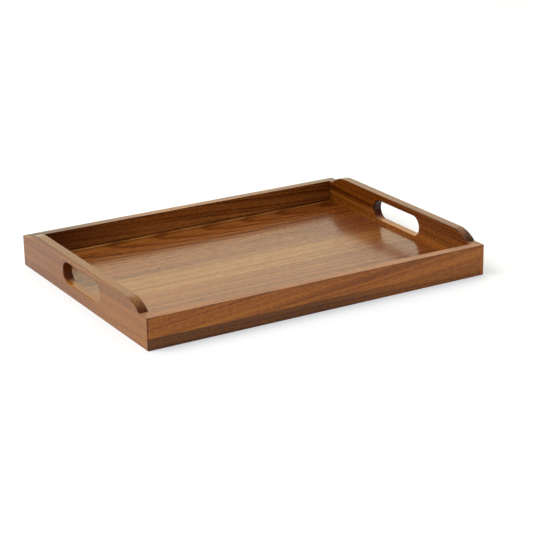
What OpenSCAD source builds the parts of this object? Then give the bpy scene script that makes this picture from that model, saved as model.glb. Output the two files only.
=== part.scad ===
// Serving tray: mitred rails, end rails with a raised middle and a hand slot, and a veneered base in a groove.
// The origin is the centre of the footprint, on the surface the tray stands on.
// +X runs along the long rails, -Y is the front and +Z is up.

/* [Tray] */
// Overall length, along the long rails
tray_l = 500; // [440:5:600]
// Overall width, along the end rails
tray_w = 374; // [340:2:460]

/* [Rails] */
// Height of the long rails, and of the end rails at the corners
rail_h = 42; // [40:1:50]
// Thickness of every rail
rail_t = 13; // [12:0.5:16]
// Height of the glue line between the front rail's two staves
glue_line_h = 15.5; // [15:0.5:20]
// Radius on the outer vertical corners
corner_r = 2; // [1.2:0.1:3]
// Radius that eases the rails' long edges
edge_r = 0.7; // [0.5:0.1:1.1]

/* [End rails] */
// How far the middle of an end rail stands above its corners
hump_h = 12; // [8:1:16]
// Length of the low shoulder at each end of an end rail
shoulder_l = 21; // [18:1:30]
// Radius of the curve between a shoulder and the raised middle
hump_r = 50; // [30:1:60]

/* [Hand slots] */
// Length of a slot over its round ends
slot_l = 110; // [90:1:120]
// Height of a slot
slot_h = 28; // [24:1:29]
// Wood left above a slot
slot_bridge = 9; // [8:0.5:9]
// Radius on the rims of a slot
slot_edge_r = 1.5; // [1:0.1:2]

/* [Base] */
// Height of the tray's floor above the surface it stands on
floor_h = 12; // [11:0.5:13]
// Thickness of the base, core and veneers together
base_t = 5; // [4:0.5:6]
// Thickness of each veneer
veneer_t = 0.6; // [0.5:0.1:0.8]
// Depth of the groove that holds the base
groove_d = 5; // [4:0.5:5]
// Room left round the base in its groove, so that the wood can move
groove_gap = 0.5; // [0.3:0.1:1]

/* [Corner tongues] */
// Thickness of a tongue
tongue_t = 3; // [2:0.5:3]
// Width of a tongue across its mitre
tongue_w = 10; // [8:1:10]
// Distance of a tongue below the top of the rails
tongue_drop = 6; // [4:1:8]

/* [Hidden] */
$fn = 96;

over = 1;                                      // how far a cutter reaches past the wood it cuts
top_h = rail_h + hump_h;                       // height of the raised middle of an end rail
base_h = floor_h - base_t;                     // height of the underside of the base
core_t = base_t - 2 * veneer_t;
base_inset = rail_t - groove_d + groove_gap;   // from the tray's outside to the edge of the base
slot_r = slot_h / 2;
slot_mid_h = top_h - slot_bridge - slot_r;
slot_end = slot_l / 2 - slot_r;                // from the middle of a slot to the centre of its round end
valley_angle = acos(1 - hump_h / hump_r);      // slope of the curve where it leaves the shoulder
valley = tray_w / 2 - shoulder_l;              // from the middle of an end rail to the foot of the curve
hump_end = valley - hump_r * sin(valley_angle);
tongue_gap = 0.3;                              // room for glue at each edge and end of a tongue
tongue_h0 = floor_h + 2;
tongue_h1 = rail_h - tongue_drop;
tongue_in = 0.65 * rail_t;                     // from the tray's outside to the middle of a tongue

light_wood = "#a5704a";
warm_wood = "#8c5532";
dark_wood = "#643e23";
floor_wood = "#9c6a3f";
plain_wood = "#c9ab7f";

// What easing takes off a square edge at the origin, with the wood towards -x and -y
module edge_waste(r) {
    difference() {
        translate([-r, -r]) square(r + over);
        translate([-r, -r]) circle(r);
    }
}

// Section of a plank of this height, with x through its thickness and y up, and its edges eased
module plank_section(height) {
    translate([edge_r, 0]) square([rail_t - 2 * edge_r, height]);
    translate([0, edge_r]) square([rail_t, height - 2 * edge_r]);
    for (x = [edge_r, rail_t - edge_r], y = [edge_r, height - edge_r])
        translate([x, y]) circle(edge_r);
}

// A plank along +X, centred on x = 0, with its outer face on y = 0
module plank(length, height) {
    translate([-length / 2, 0, 0]) rotate([90, 0, 90]) linear_extrude(length) plank_section(height);
}

// Everything taken off one outer corner of the frame, at its top right in plan
module corner_waste() {
    translate([0, 0, -over]) linear_extrude(top_h + 2 * over) edge_waste(corner_r);
    for (flip = [0, 1])
        translate([-corner_r, -corner_r, flip ? 0 : rail_h]) mirror([0, 0, flip])
            rotate_extrude(angle = 90) translate([corner_r, 0]) edge_waste(edge_r);
}

module four_corners() {
    for (sx = [0, 1], sy = [0, 1])
        mirror([sx, 0, 0]) mirror([0, sy, 0]) translate([tray_l / 2, tray_w / 2, 0]) children();
}

// The part of the frame's plan that belongs to the rail along a side of this length, on the -Y side
module mitred_plan(along, across) {
    outer = along / 2 + over;
    inner = along / 2 - rail_t - over;
    polygon([
        [-outer, -across / 2 - over], [outer, -across / 2 - over],
        [inner, -across / 2 + rail_t + over], [-inner, -across / 2 + rail_t + over]
    ]);
}

// Tongue in plan across the mitre of a corner at the origin, lengthened by gap at each edge
module tongue_plan(gap) {
    translate([-tongue_in, -tongue_in]) rotate(45)
        square([tongue_t, tongue_w + 2 * gap], center = true);
}

module tongue_slots() {
    four_corners() translate([0, 0, tongue_h0 - tongue_gap])
        linear_extrude(tongue_h1 - tongue_h0 + 2 * tongue_gap) tongue_plan(tongue_gap);
}

// Groove for the base along the inner face of a plank
module base_groove(length) {
    translate([-length / 2, rail_t - groove_d, base_h]) cube([length, groove_d + over, base_t]);
}

// The long rail on the -Y side
module long_rail() {
    difference() {
        intersection() {
            translate([0, -tray_w / 2, 0]) difference() {
                plank(tray_l, rail_h);
                base_groove(tray_l + 2 * over);
            }
            translate([0, 0, -over]) linear_extrude(rail_h + 2 * over) mitred_plan(tray_l, tray_w);
        }
        four_corners() corner_waste();
        tongue_slots();
    }
}

// The curved end of the raised middle, on the -X side of a plank: a sector of a disc with an eased rim.
// It starts upright, where the top turns level, and runs on past the foot of the curve, inside the plank.
module hump_sector() {
    buried_angle = 5;
    hub_r = hump_r / 2;
    translate([-hump_end, 0, top_h - hump_r]) rotate([90, 0, 0]) mirror([0, 0, 1])
        rotate([0, 0, 90]) rotate_extrude(angle = valley_angle + buried_angle) {
            translate([hub_r, 0]) square([hump_r - edge_r - hub_r, rail_t]);
            translate([hub_r, edge_r]) square([hump_r - hub_r, rail_t - 2 * edge_r]);
            for (y = [edge_r, rail_t - edge_r])
                translate([hump_r - edge_r, y]) circle(edge_r);
        }
}

// Half of a slot's section, with x away from the slot's middle and y through the rail, flared at both faces
module slot_half_section() {
    translate([0, -over]) square([slot_r, rail_t + 2 * over]);
    for (flip = [0, 1])
        translate([0, flip * rail_t]) mirror([0, flip]) difference() {
            translate([0, -over]) square([slot_r + slot_edge_r, slot_edge_r + over]);
            translate([slot_r + slot_edge_r, slot_edge_r]) circle(slot_edge_r);
        }
}

// What is cut away for the hand slot
module hand_slot() {
    translate([0, 0, slot_mid_h]) for (side = [0, 1]) mirror([side, 0, 0]) {
        translate([slot_end, 0, 0]) rotate([90, 0, 0]) mirror([0, 0, 1])
            rotate([0, 0, -90]) rotate_extrude(angle = 180) slot_half_section();
        for (half = [0, 1])
            mirror([0, 0, half]) rotate([90, 0, 90]) linear_extrude(slot_end)
                mirror([1, -1]) slot_half_section();
    }
}

// The end rail, made along the X axis with its outer face on y = 0
module end_rail_blank() {
    difference() {
        union() {
            plank(tray_w, rail_h);
            plank(2 * hump_end, top_h);
            hump_sector();
            mirror([1, 0, 0]) hump_sector();
        }
        hand_slot();
        base_groove(tray_w + 2 * over);
    }
}

// The end rail on the +X side
module end_rail() {
    difference() {
        intersection() {
            rotate(90) translate([0, -tray_l / 2, 0]) end_rail_blank();
            translate([0, 0, -over]) linear_extrude(top_h + 2 * over)
                rotate(90) mitred_plan(tray_w, tray_l);
        }
        four_corners() corner_waste();
        tongue_slots();
    }
}

// One layer of the base, from height z0
module base_layer(z0, thickness) {
    translate([base_inset - tray_l / 2, base_inset - tray_w / 2, z0])
        cube([tray_l - 2 * base_inset, tray_w - 2 * base_inset, thickness]);
}

// A tongue in the corner on the side of sx and sy, each -1 or 1
module tongue(sx, sy) {
    color(plain_wood) mirror([sx < 0 ? 1 : 0, 0, 0]) mirror([0, sy < 0 ? 1 : 0, 0])
        translate([tray_l / 2, tray_w / 2, tongue_h0])
            linear_extrude(tongue_h1 - tongue_h0) tongue_plan(0);
}

module front_rail_lower_stave() {
    color(dark_wood) intersection() {
        long_rail();
        translate([-tray_l, -tray_w, -over]) cube([2 * tray_l, tray_w, glue_line_h + over]);
    }
}

module front_rail_upper_stave() {
    color(warm_wood) intersection() {
        long_rail();
        translate([-tray_l, -tray_w, glue_line_h]) cube([2 * tray_l, tray_w, rail_h]);
    }
}

module back_rail() {
    color(warm_wood) mirror([0, 1, 0]) long_rail();
}

module left_end_rail() {
    color(light_wood) mirror([1, 0, 0]) end_rail();
}

module right_end_rail() {
    color(light_wood) end_rail();
}

module base_face_veneer() {
    color(floor_wood) base_layer(floor_h - veneer_t, veneer_t);
}

module base_core() {
    color(plain_wood) base_layer(base_h + veneer_t, core_t);
}

module base_backing_veneer() {
    color(warm_wood) base_layer(base_h, veneer_t);
}

front_rail_lower_stave();
front_rail_upper_stave();
back_rail();
left_end_rail();
right_end_rail();
base_face_veneer();
base_core();
base_backing_veneer();
tongue(-1, -1);  // front_left_tongue
tongue(1, -1);  // front_right_tongue
tongue(-1, 1);  // back_left_tongue
tongue(1, 1);  // back_right_tongue
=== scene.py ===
"""Looks for the wooden serving tray: wood on every piece, lacquered where it shows, in a pale studio.

Lengths are in metres, in the CAD frame: +X along the long rails, -Y the front, +Z up.
A factor multiplies a colour in red, green and blue.
"""

import math
from typing import NamedTuple

import bpy
from mathutils import Matrix, Vector


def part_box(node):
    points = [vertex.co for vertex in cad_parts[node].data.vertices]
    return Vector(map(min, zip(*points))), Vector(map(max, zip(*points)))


MM = 0.001

CAMERA_AZIMUTH = -30.3
CAMERA_ELEVATION = 19.5
CAMERA_ROLL = -0.91
CAMERA_DISTANCE = 2.311
CAMERA_AIM = Vector((0.0147, -0.0170, 0.0063))
CAMERA_LENS_MM = 116.0

STUDIO_FLOOR_SIZE = 60
STUDIO_FLOOR_GREY = 0.55
STUDIO_FLOOR_GLOW = (0.43, 0.452, 0.482)
SKY_TOP = (0.28, 0.28, 0.28)
SKY_BACK = (1.46, 1.38, 1.04)
SKY_SIDE = (0.26, 0.26, 0.26)
SKY_BACK_WAY = (0.5, 0.86)  # the bright side of the sky in plan, behind the tray as the camera sees it

TRAY_FLOOR_IOR = 1.42
RAIL_IOR = 1.34
LACQUER_ROUGHNESS = 0.15
ROUGHNESS_SPREAD = 0.10   # how much rougher the dullest patches are, and the pores
PATCHES_PER_ALONG = 30.0  # how often the gloss changes, to a metre along the grain and across it
PATCHES_PER_ACROSS = 60.0

# Darkness through one growth ring: (share of the ring's width, darkness)
YEAR = ((0.0, 0.15), (0.25, 0.0), (0.6, 0.35), (0.88, 1.0), (1.0, 0.15))
RING_MEAN = 0.18         # about how dark the rings are on average, as a share of a Grain's figure
UNEVEN_YEARS = 3.0       # how many rings the uneven growth moves them by, at most
UNEVEN_PER_METRE = 25.0  # how often that growth changes, going out from the pith
SLOW_PER_ALONG = 4.0     # how often the grain strays, to a metre along it and across it
SLOW_PER_ACROSS = 14.0

# Factors on the colour, and the share of each that shows where it is strongest
PINK_SHARE = 0.3
PINK_FACTOR = (0.96, 0.84, 1.10)
PORE_SHARE = 0.4
PORE_FACTOR = (0.42, 0.34, 0.28)
EASED_EDGE_SHARE = 0.45
EASED_EDGE_FACTOR = (0.46, 0.36, 0.28)
END_GRAIN_SHARE = 0.9
END_GRAIN_FACTOR = (0.40, 0.22, 0.10)
# Painted sheen on the rails' tops: greyer and bluer, as the bright surroundings reflect there
TOP_SHEEN_FACTOR = (0.76, 0.78, 1.3)
TOP_SHEEN_HALF_W = 1.5 * MM  # half the width of the painted sheen along a rail's top

# How deep the grain shows in the surface
RAIL_RELIEF_H = 0.01 * MM
TRAY_FLOOR_RELIEF_H = 0.025 * MM

# A piece's axes: along the grain, across the face that shows and into it
FLAT_SHEET = ("X", "Y", "Z")
LONG_RAIL = ("X", "Z", "Y")
END_RAIL = ("Y", "Z", "X")

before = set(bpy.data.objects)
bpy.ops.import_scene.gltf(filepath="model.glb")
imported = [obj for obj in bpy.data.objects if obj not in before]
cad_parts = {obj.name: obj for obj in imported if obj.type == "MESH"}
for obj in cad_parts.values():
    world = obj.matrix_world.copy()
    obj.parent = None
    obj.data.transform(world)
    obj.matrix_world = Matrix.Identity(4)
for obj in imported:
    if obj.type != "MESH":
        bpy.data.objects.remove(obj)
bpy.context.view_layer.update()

TRAY_FLOOR_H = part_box("base_face_veneer")[1].z
BACK_RAIL_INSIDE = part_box("back_rail")[0].y
RAIL_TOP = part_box("back_rail")[1].z
HUMP_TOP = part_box("left_end_rail")[1].z


class Grain(NamedTuple):
    """How a piece is cut from its log, and how strongly each part of the grain shows."""

    axes: tuple              # along the grain, across the face and into it
    pith: tuple              # the log's middle, on the last two axes
    tilt: tuple              # the grain's slope on the same two axes
    ring: float              # width of a growth ring
    figure: float            # strength of the rings
    fibre: float             # strength of the fine lines
    offset: float = 0.0      # moves the pattern along the grain, so that the pieces differ
    wander: float = 0.004    # how far the grain strays sideways
    reach: float = 0.2       # distance from the pith where the rings begin to weaken
    brush: float = 0.5       # how much the rings fade in and out along the grain
    line_w: float = 0.0036   # width of the fine lines
    band: float = 0.3        # strength of the broad bands
    band_w: float = 0.022    # their width
    speck: float = 0.2       # strength of the short flecks
    speck_w: float = 0.0016  # their width


class Stripe(NamedTuple):
    """A stripe of another colour along the grain."""

    middle: float  # its place across the grain
    half_w: float  # half its width
    soft: float    # the share of that half that fades out
    factor: tuple


class Drift(NamedTuple):
    """A change of colour along the grain, from nothing at start to the whole factor at end."""

    start: float
    end: float
    factor: tuple


class Tree:
    """Short ways to add and join the shader nodes of a material or a world."""

    def __init__(self, owner):
        self.tree = owner.node_tree

    def add(self, kind, **settings):
        node = self.tree.nodes.new(kind)
        for name, value in settings.items():
            setattr(node, name, value)
        return node

    def join(self, source, target):
        self.tree.links.new(source, target)

    def put(self, value, socket):
        """Joins a socket to a socket, or sets a plain number on it."""
        if isinstance(value, bpy.types.NodeSocket):
            self.join(value, socket)
        else:
            socket.default_value = value

    def math(self, operation, *values, clamp=False):
        node = self.add("ShaderNodeMath", operation=operation, use_clamp=clamp)
        for value, socket in zip(values, node.inputs):
            self.put(value, socket)
        return node.outputs[0]

    def vector(self, x, y, z):
        node = self.add("ShaderNodeCombineXYZ")
        for value, socket in zip((x, y, z), node.inputs):
            self.put(value, socket)
        return node.outputs[0]

    def parts(self, vector):
        """A vector's X, Y and Z."""
        node = self.add("ShaderNodeSeparateXYZ")
        self.join(vector, node.inputs[0])
        return dict(zip("XYZ", node.outputs))

    def length(self, vector):
        node = self.add("ShaderNodeVectorMath", operation="LENGTH")
        self.join(vector, node.inputs[0])
        return node.outputs["Value"]

    def noise(self, vector, detail, rough=0.5):
        node = self.add("ShaderNodeTexNoise", noise_dimensions="3D")
        self.join(vector, node.inputs["Vector"])
        node.inputs["Scale"].default_value = 1.0
        node.inputs["Detail"].default_value = detail
        node.inputs["Roughness"].default_value = rough
        return node.outputs["Fac"]

    def ramp(self, value, *stops, smooth=False):
        """The value turned into a grey or a colour: each stop is (value, grey or colour)."""
        node = self.add("ShaderNodeValToRGB")
        if smooth:
            node.color_ramp.interpolation = "EASE"
        elements = node.color_ramp.elements
        while len(elements) < len(stops):
            elements.new(0.5)
        for element, (place, colour) in zip(elements, stops):
            element.position = place
            grey = not hasattr(colour, "__len__")
            element.color = (colour, colour, colour, 1.0) if grey else (*colour, 1.0)
        self.join(value, node.inputs[0])
        return node.outputs[0]

    def rise(self, value, low, high, bottom=0.0, top=1.0):
        """From bottom, where the value is low, to top, where it is high."""
        return self.ramp(value, (low, bottom), (high, top))

    def tint(self, colour, share, factor):
        """The colour multiplied by the factor, as far as share says."""
        node = self.add("ShaderNodeMix", data_type="RGBA", blend_type="MULTIPLY")
        self.put(share, node.inputs[0])
        self.put(colour, node.inputs[6])
        node.inputs[7].default_value = (*factor, 1.0)
        return node.outputs[2]

    def lighter(self, first, second):
        """The lighter of two colours, in each of red, green and blue."""
        node = self.add("ShaderNodeMix", data_type="RGBA", blend_type="LIGHTEN")
        node.inputs[0].default_value = 1.0
        self.join(first, node.inputs[6])
        self.join(second, node.inputs[7])
        return node.outputs[2]


class WoodTree(Tree):
    """The shader nodes of one piece's wood, cut from a log whose growth rings are computed in space.

    u runs along the grain, v across the face and w into it, and v and w lean with the grain.
    """

    def __init__(self, material, grain):
        super().__init__(material)
        self.grain = grain
        self.along, self.across, self.depth = grain.axes
        coordinates = self.add("ShaderNodeTexCoord")
        self.place = self.parts(coordinates.outputs["Object"])
        normal = self.parts(coordinates.outputs["Normal"])
        self.facing = {way: self.math("ABSOLUTE", value) for way, value in normal.items()}
        self.u = self.math("ADD", self.place[self.along], grain.offset)
        leaning = self.math("MULTIPLY_ADD", self.u, grain.tilt[0], self.place[self.across])
        self.w = self.math("MULTIPLY_ADD", self.u, grain.tilt[1], self.place[self.depth])
        self.v = self.math("ADD", leaning, self.straying(leaning))
        from_pith_v = self.math("SUBTRACT", self.v, grain.pith[0])
        from_pith_w = self.math("SUBTRACT", self.w, grain.pith[1])
        self.radius = self.length(self.vector(from_pith_v, from_pith_w, 0.0))

    def straying(self, v):
        """How far the grain strays sideways from its straight line at v."""
        slow_u = self.math("MULTIPLY", self.u, SLOW_PER_ALONG)
        slow_v = self.math("MULTIPLY", v, SLOW_PER_ACROSS)
        slow = self.noise(self.vector(slow_u, slow_v, self.w), detail=1.5)
        return self.math("MULTIPLY", self.math("SUBTRACT", slow, 0.5), 2 * self.grain.wander)

    def streaks(self, per_along, per_across, detail, rough=0.55):
        """Noise drawn out along the grain, with so many features to a metre along it and across it."""
        u = self.math("MULTIPLY", self.u, per_along)
        v = self.math("MULTIPLY", self.v, per_across)
        depth = self.math("MULTIPLY", self.place[self.depth], per_across)
        return self.noise(self.vector(u, v, depth), detail=detail, rough=rough)

    def rings(self):
        """How dark the growth rings are: they come and go along the grain, and weaken far from the pith."""
        grain = self.grain
        growth = self.math("MULTIPLY", self.radius, UNEVEN_PER_METRE)
        uneven = self.noise(self.vector(0.0, growth, 0.0), detail=1.0)
        even_years = self.math("DIVIDE", self.radius, grain.ring)
        years = self.math("ADD", even_years, self.math("MULTIPLY", uneven, UNEVEN_YEARS))
        year = self.ramp(self.math("FRACT", years), *YEAR)
        coming = self.streaks(per_along=2.5, per_across=60.0, detail=2.0)
        fade = self.rise(coming, low=0.38, high=0.62, bottom=1.0 - grain.brush)
        away = self.math("DIVIDE", self.radius, 2 * grain.reach)
        strength = self.rise(away, low=0.5, high=0.85, bottom=grain.figure, top=0.3 * grain.figure)
        return self.math("MULTIPLY", self.math("MULTIPLY", year, fade), strength)

    def broad_bands(self):
        bands = self.streaks(per_along=1.6, per_across=1 / self.grain.band_w, detail=1.5)
        return self.rise(bands, low=0.38, high=0.62)

    def fine_lines(self):
        lines = self.streaks(per_along=1.2, per_across=1 / self.grain.line_w, detail=2.0, rough=0.6)
        return self.rise(lines, low=0.42, high=0.58)

    def short_flecks(self):
        per_across = 1 / self.grain.speck_w
        flecks = self.streaks(per_along=0.25 / self.grain.speck_w, per_across=per_across, detail=1.0)
        return self.rise(flecks, low=0.42, high=0.58)

    def open_pores(self):
        return self.rise(self.streaks(per_along=130.0, per_across=2300.0, detail=1.0), low=0.56, high=0.64)

    def pink_patches(self):
        patches = self.streaks(per_along=1.5, per_across=0.7 / self.grain.band_w, detail=1.0)
        return self.rise(patches, low=0.4, high=0.6, top=PINK_SHARE)

    def grain_colour(self, shades, lines, flecks):
        """The shades, by how dark the rings, bands, lines and flecks make the wood, and some of it pink."""
        grain = self.grain
        dark = self.rings()
        marks = ((self.broad_bands(), grain.band), (lines, grain.fibre), (flecks, grain.speck))
        for mark, strength in marks:
            dark = self.math("MULTIPLY_ADD", mark, strength, dark)
        usual = 0.5 * (grain.band + grain.fibre + grain.speck) + RING_MEAN * grain.figure
        dark = self.math("SUBTRACT", dark, usual - 0.5, clamp=True)
        last = len(shades) - 1
        colour = self.ramp(dark, *((i / last, shade) for i, shade in enumerate(shades)))
        return self.tint(colour, self.pink_patches(), PINK_FACTOR)

    def striped(self, colour, stripe):
        from_middle = self.math("SUBTRACT", self.place[self.across], stripe.middle)
        away = self.math("ABSOLUTE", self.math("DIVIDE", from_middle, stripe.half_w))
        share = self.ramp(away, (1.0 - stripe.soft, 1.0), (1.0, 0.0), smooth=True)
        return self.tint(colour, share, stripe.factor)

    def drifted(self, colour, drift):
        from_start = self.math("SUBTRACT", self.place[self.along], drift.start)
        share = self.math("DIVIDE", from_start, drift.end - drift.start, clamp=True)
        return self.tint(colour, share, drift.factor)

    def darkened_edges(self, colour):
        """Darker where an edge is eased, so that it faces no axis squarely, and where end grain shows."""
        squareness = self.math("MAXIMUM", self.facing["X"], self.facing["Y"])
        squareness = self.math("MAXIMUM", squareness, self.facing["Z"])
        eased = self.rise(squareness, low=0.80, high=0.985, bottom=EASED_EDGE_SHARE, top=0.0)
        colour = self.tint(colour, eased, EASED_EDGE_FACTOR)
        end_grain = self.rise(self.facing[self.along], low=0.10, high=0.60, top=END_GRAIN_SHARE)
        return self.tint(colour, end_grain, END_GRAIN_FACTOR)

    def gloss(self, roughness, pores):
        """The surface's roughness: a little uneven, and duller over the pores."""
        patch_u = self.math("MULTIPLY", self.u, PATCHES_PER_ALONG)
        patch_v = self.math("MULTIPLY", self.v, PATCHES_PER_ACROSS)
        patchy = self.noise(self.vector(patch_u, patch_v, self.w), detail=2.0)
        uneven = self.math("MULTIPLY_ADD", patchy, ROUGHNESS_SPREAD, roughness - ROUGHNESS_SPREAD / 2)
        return self.math("MULTIPLY_ADD", pores, ROUGHNESS_SPREAD, uneven)

    def relief(self, lines, flecks, pores, height):
        """A normal that sinks the lines, flecks and pores into the surface."""
        hollows = self.math("MULTIPLY_ADD", lines, -0.5, self.math("MULTIPLY", flecks, -0.5))
        bump = self.add("ShaderNodeBump")
        bump.inputs["Strength"].default_value = 1.0
        bump.inputs["Distance"].default_value = height
        self.join(self.math("SUBTRACT", hollows, pores), bump.inputs["Height"])
        return bump.outputs[0]


def new_material(name):
    material = bpy.data.materials.new(name)
    material.use_nodes = True
    return material, material.node_tree.nodes["Principled BSDF"]


def wood(name, shades, grain, stripes=(), drifts=(), roughness=LACQUER_ROUGHNESS, ior=RAIL_IOR,
         relief_h=RAIL_RELIEF_H):
    """Wood in shades that go from light to dark; relief_h is how deep its grain shows in the surface."""
    material, shader = new_material(name)
    t = WoodTree(material, grain)
    lines = t.fine_lines()
    flecks = t.short_flecks()
    pores = t.open_pores()
    colour = t.grain_colour(shades, lines, flecks)
    for stripe in stripes:
        colour = t.striped(colour, stripe)
    for drift in drifts:
        colour = t.drifted(colour, drift)
    colour = t.tint(colour, t.math("MULTIPLY", pores, PORE_SHARE), PORE_FACTOR)
    t.join(t.darkened_edges(colour), shader.inputs["Base Color"])
    t.join(t.gloss(roughness, pores), shader.inputs["Roughness"])
    shader.inputs["IOR"].default_value = ior
    t.join(t.relief(lines, flecks, pores, relief_h), shader.inputs["Normal"])
    return material


def darkening(light, *factors):
    """The light shade, and darker ones: each is the light one times its factor."""
    return [light] + [tuple(c * f for c, f in zip(light, factor)) for factor in factors]


def top_sheen_along(top):
    """The greyer line along a rail's top edge: a painted sheen, where the bright surroundings reflect."""
    return Stripe(middle=top, half_w=TOP_SHEEN_HALF_W, soft=0.4, factor=TOP_SHEEN_FACTOR)


def dress(node, material):
    """Gives a CAD node its material."""
    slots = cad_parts[node].data.materials
    slots.clear()
    slots.append(material)


def dress_tray_floor():
    shades = darkening((0.305, 0.106, 0.019), (0.86, 0.78, 0.66), (0.66, 0.54, 0.42), (0.40, 0.29, 0.20))
    grain = Grain(
        FLAT_SHEET, pith=(BACK_RAIL_INSIDE - 0.016, TRAY_FLOOR_H + 0.060), tilt=(0.0, 0.10), ring=0.0072,
        figure=1.0, fibre=0.58, wander=0.003, reach=0.085, brush=0.3, line_w=0.005, band=0.20, band_w=0.030,
        speck=0.25, speck_w=0.003)
    golden_band = Stripe(middle=-0.005, half_w=0.036, soft=0.2, factor=(1.20, 1.55, 2.20))
    greyer_back = Stripe(middle=BACK_RAIL_INSIDE, half_w=0.075, soft=0.6, factor=(1.0, 1.02, 1.2))
    pale_back_line = Stripe(middle=BACK_RAIL_INSIDE, half_w=0.007, soft=0.3, factor=(2.0, 2.6, 3.6))
    # Painted shade: the tray floor darker towards its right end, where the right end rail shades it and
    # darkens its reflection
    dark_right_end = Drift(start=0.08, end=0.22, factor=(0.74, 0.58, 0.46))
    dress("base_face_veneer", wood(
        "floor_veneer", shades, grain, stripes=(golden_band, greyer_back, pale_back_line),
        drifts=(dark_right_end,), ior=TRAY_FLOOR_IOR, relief_h=TRAY_FLOOR_RELIEF_H))


def dress_upper_stave():
    shades = darkening((0.50, 0.164, 0.014), (0.88, 0.82, 0.74), (0.72, 0.62, 0.52), (0.50, 0.38, 0.28))
    grain = Grain(LONG_RAIL, pith=(-0.10, 0.02), tilt=(-0.09, 0.05), ring=0.009, figure=0.15,
                  fibre=0.50, offset=0.3, band=0.45, band_w=0.014, speck=0.35)
    dress("front_rail_upper_stave", wood("upper_stave", shades, grain, stripes=(top_sheen_along(RAIL_TOP),)))


def dress_lower_stave():
    shades = darkening((0.20, 0.064, 0.001), (0.82, 0.76, 0.68), (0.62, 0.53, 0.44), (0.40, 0.30, 0.22))
    grain = Grain(LONG_RAIL, pith=(-0.08, 0.05), tilt=(0.01, 0.01), ring=0.006, figure=0.10,
                  fibre=0.7, offset=1.1, band=0.20, speck=0.40)
    light_right_end = Drift(start=0.0, end=0.14, factor=(1.9, 1.85, 1.6))
    dress("front_rail_lower_stave", wood("lower_stave", shades, grain, drifts=(light_right_end,)))


def dress_back_rail():
    shades = darkening((0.50, 0.188, 0.036), (0.78, 0.72, 0.62), (0.54, 0.46, 0.34), (0.30, 0.21, 0.14))
    grain = Grain(LONG_RAIL, pith=(0.10, 0.05), tilt=(0.05, 0.03), ring=0.007, figure=0.20,
                  fibre=0.7, offset=2.3, band=0.3, speck=0.35)
    light_foot = Stripe(middle=TRAY_FLOOR_H, half_w=0.018, soft=1.0, factor=(1.35, 1.5, 1.8))
    # Painted shadow: a dark line in the gap where the back rail meets the tray floor
    joint_shadow = Stripe(middle=TRAY_FLOOR_H, half_w=0.003, soft=0.5, factor=(0.45, 0.40, 0.35))
    # Painted shadow of the left end rail, darker towards the back rail's left end
    left_rail_shadow = Drift(start=-0.06, end=-0.22, factor=(0.34, 0.24, 0.16))
    dark_right_end = Drift(start=0.13, end=0.22, factor=(0.80, 0.75, 0.70))
    dress("back_rail", wood(
        "back_rail", shades, grain, stripes=(light_foot, joint_shadow, top_sheen_along(RAIL_TOP)),
        drifts=(left_rail_shadow, dark_right_end)))


def dress_left_end_rail():
    shades = darkening((0.36, 0.132, 0.006), (0.86, 0.81, 0.72), (0.70, 0.63, 0.52), (0.50, 0.41, 0.30))
    grain = Grain(END_RAIL, pith=(0.16, 0.05), tilt=(0.03, 0.02), ring=0.006, figure=0.10,
                  fibre=0.50, offset=3.7, band=0.35, speck=0.35)
    dark_back_end = Drift(start=-0.08, end=0.12, factor=(0.90, 0.85, 0.80))
    dress("left_end_rail", wood(
        "left_end_rail", shades, grain, stripes=(top_sheen_along(HUMP_TOP),), drifts=(dark_back_end,)))


def dress_right_end_rail():
    shades = darkening((0.35, 0.118, 0.014), (0.74, 0.66, 0.54), (0.48, 0.38, 0.26), (0.22, 0.15, 0.08))
    grain = Grain(END_RAIL, pith=(0.20, 0.03), tilt=(-0.02, 0.02), ring=0.0065, figure=0.30,
                  fibre=0.55, offset=5.1, band=0.40, speck=0.30)
    dark_top = Stripe(middle=HUMP_TOP - 8 * MM, half_w=0.020, soft=0.5, factor=(0.74, 0.62, 0.45))
    light_foot = Stripe(middle=TRAY_FLOOR_H, half_w=0.012, soft=0.6, factor=(1.40, 1.45, 1.0))
    dark_back_end = Drift(start=-0.02, end=0.08, factor=(0.85, 0.85, 0.90))
    dress("right_end_rail", wood(
        "right_end_rail", shades, grain, stripes=(dark_top, light_foot), drifts=(dark_back_end,)))


def dress_underside():
    shades = darkening((0.44, 0.17, 0.036), (0.78, 0.72, 0.62), (0.56, 0.47, 0.36), (0.34, 0.25, 0.18))
    grain = Grain(FLAT_SHEET, pith=(0.05, -0.04), tilt=(0.01, 0.05), ring=0.008, figure=0.4,
                  fibre=0.3, offset=6.4)
    dress("base_backing_veneer", wood("backing_veneer", shades, grain, roughness=0.4))


def dress_inside():
    """Bare, pale wood on the pieces that no view shows."""
    shades = darkening((0.76, 0.57, 0.34), (0.88, 0.85, 0.80), (0.76, 0.70, 0.62), (0.62, 0.54, 0.44))
    grain = Grain(FLAT_SHEET, pith=(0.0, -0.2), tilt=(0.01, 0.01), ring=0.005, figure=0.2, fibre=0.2)
    raw = wood("raw_ply", shades, grain, roughness=0.6)
    dress("base_core", raw)
    for corner in ("front_left", "front_right", "back_left", "back_right"):
        dress(f"{corner}_tongue", raw)


def add_studio_floor():
    """A pale studio floor that runs out past every view, lit from below as a light table is."""
    bpy.ops.mesh.primitive_plane_add(size=STUDIO_FLOOR_SIZE)
    floor = bpy.context.object
    floor.name = "studio_floor"
    material, shader = new_material("studio_floor")
    shader.inputs["Base Color"].default_value = (STUDIO_FLOOR_GREY, STUDIO_FLOOR_GREY, STUDIO_FLOOR_GREY, 1)
    shader.inputs["Roughness"].default_value = 0.9
    shader.inputs["Specular IOR Level"].default_value = 0.2
    shader.inputs["Emission Color"].default_value = (*STUDIO_FLOOR_GLOW, 1)
    shader.inputs["Emission Strength"].default_value = 1.0
    floor.data.materials.append(material)


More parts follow.
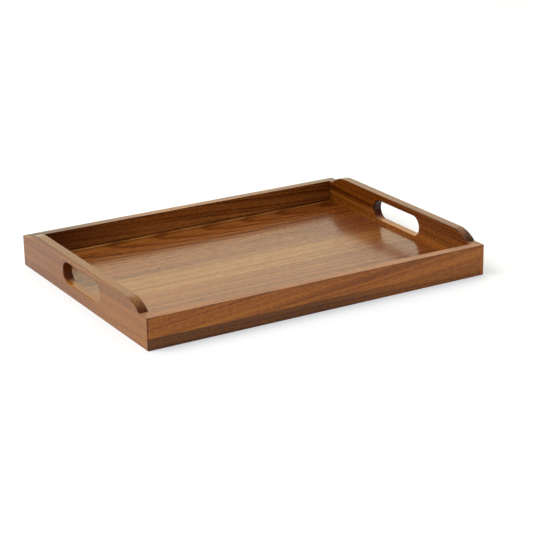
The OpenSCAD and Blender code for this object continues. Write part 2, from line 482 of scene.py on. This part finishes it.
def add_sky():
    """Soft surroundings: bright behind the tray, dim overhead, at the sides and in front."""
    world = bpy.data.worlds.new("studio")
    bpy.context.scene.world = world
    world.use_nodes = True
    t = Tree(world)
    way = t.parts(t.add("ShaderNodeTexCoord").outputs["Generated"])
    sideways = t.math("MULTIPLY", way["X"], SKY_BACK_WAY[0])
    behind = t.math("MULTIPLY_ADD", way["Y"], SKY_BACK_WAY[1], sideways)
    backdrop = t.ramp(behind, (0.0, SKY_SIDE), (0.55, SKY_BACK), smooth=True)
    overhead = t.ramp(way["Z"], (0.30, 0.0), (0.75, SKY_TOP), smooth=True)
    t.join(t.lighter(backdrop, overhead), world.node_tree.nodes["Background"].inputs["Color"])


def add_softbox(name, at, aim, size, watts):
    light = bpy.data.lights.new(name, "AREA")
    light.shape = "RECTANGLE"
    light.size, light.size_y = size
    light.energy = watts
    lamp = bpy.data.objects.new(name, light)
    lamp.location = at
    lamp.rotation_mode = "QUATERNION"
    lamp.rotation_quaternion = (Vector(at) - Vector(aim)).to_track_quat("Z", "Y")
    bpy.context.scene.collection.objects.link(lamp)


def add_camera():
    azimuth, elevation = math.radians(CAMERA_AZIMUTH), math.radians(CAMERA_ELEVATION)
    back = Vector((math.sin(azimuth) * math.cos(elevation), -math.cos(azimuth) * math.cos(elevation),
                   math.sin(elevation)))
    data = bpy.data.cameras.new("camera")
    data.lens = CAMERA_LENS_MM
    camera = bpy.data.objects.new("camera", data)
    bpy.context.scene.collection.objects.link(camera)
    turn = back.to_track_quat("Z", "Y").to_matrix() @ Matrix.Rotation(math.radians(CAMERA_ROLL), 3, "Z")
    camera.matrix_world = Matrix.Translation(CAMERA_AIM + back * CAMERA_DISTANCE) @ turn.to_4x4()
    bpy.context.scene.camera = camera


dress_tray_floor()
dress_upper_stave()
dress_lower_stave()
dress_back_rail()
dress_left_end_rail()
dress_right_end_rail()
dress_underside()
dress_inside()
add_studio_floor()
add_sky()
add_softbox("key", at=(-3.6, 0.9, 5.2), aim=(0, 0, 0), size=(3.6, 3.6), watts=300)
add_camera()
bpy.context.scene.view_settings.view_transform = "Standard"
